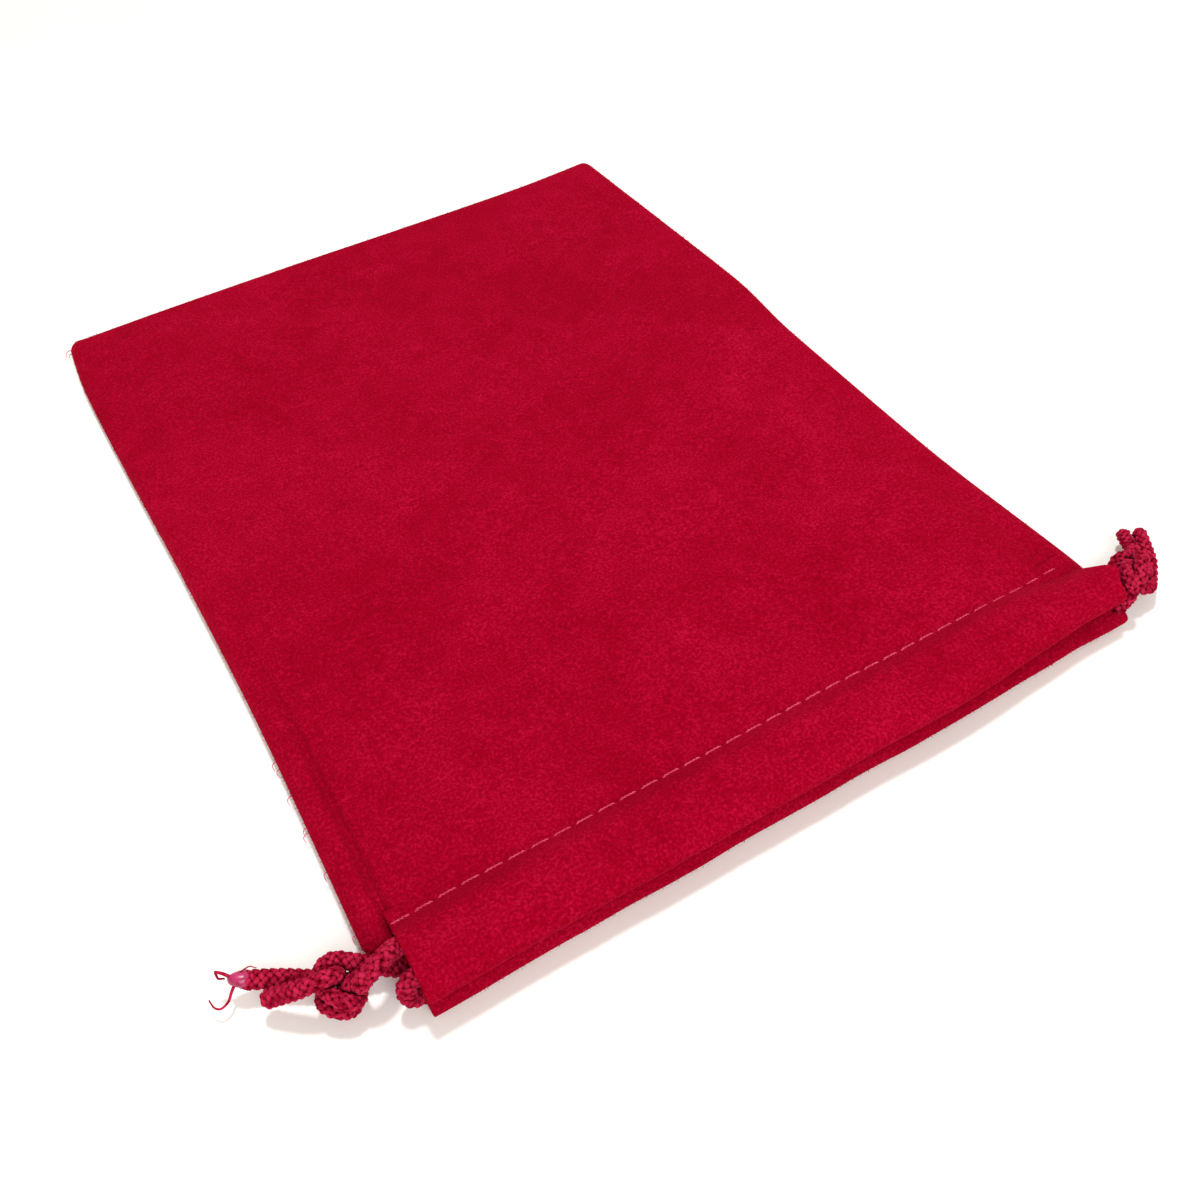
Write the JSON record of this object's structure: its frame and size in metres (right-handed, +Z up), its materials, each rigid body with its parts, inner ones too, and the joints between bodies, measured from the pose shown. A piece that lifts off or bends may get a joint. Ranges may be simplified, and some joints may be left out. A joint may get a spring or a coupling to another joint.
{
  "type": "drawstring gift sack",
  "caption": "Flat velvet drawstring gift sack with two sewn channels at the mouth and two knotted pull cords.",
  "frame": {"origin": "on the surface the bag lies on, under the middle of the bag's cloth", "axes": "+X to the right across the mouth, the mouth faces -Y and the closed end +Y, +Z up out of the front panel"},
  "size_m": [0.1594, 0.178, 0.0097],
  "materials": {
    "velvet": "flocked velvet, deep crimson",
    "cord": "braided rayon cord, crimson",
    "thread": "polyester sewing thread, pinkish red"
  },
  "bodies": {
    "bag_back": {"back_panel": "velvet", "closed_end_fold": "velvet", "left_side_fold": "velvet", "right_side_fold": "velvet", "left_seam_allowance": "velvet", "right_seam_allowance": "velvet", "left_seam_stitching": "thread", "right_seam_stitching": "thread", "back_channel": "velvet", "back_channel_stitching": "thread"},
    "front_mouth": {"front_panel": "velvet", "front_channel": "velvet", "front_channel_stitching": "thread"},
    "left_pull": {"left_drawcord": "cord", "left_knot": "cord", "left_cord_tails": "cord"},
    "right_pull": {"right_drawcord": "cord", "right_knot": "cord", "right_cord_tails": "cord"}
  },
  "joints": [
    {"name": "mouth_open", "type": "hinge", "parent": "bag_back", "child": "front_mouth", "pos_m": [0, 0.08565, 0.0053], "axis": [-1, 0, 0], "range_deg": [0, 9], "deforming": ["left_drawcord", "right_drawcord"]},
    {"name": "left_cord_pull", "type": "slide", "parent": "bag_back", "child": "left_pull", "axis": [-1, 0, 0], "range_m": [0, 0.03], "deforming": ["left_drawcord"]},
    {"name": "right_cord_pull", "type": "slide", "parent": "bag_back", "child": "right_pull", "axis": [1, 0, 0], "range_m": [0, 0.03], "deforming": ["right_drawcord"]}
  ]
}
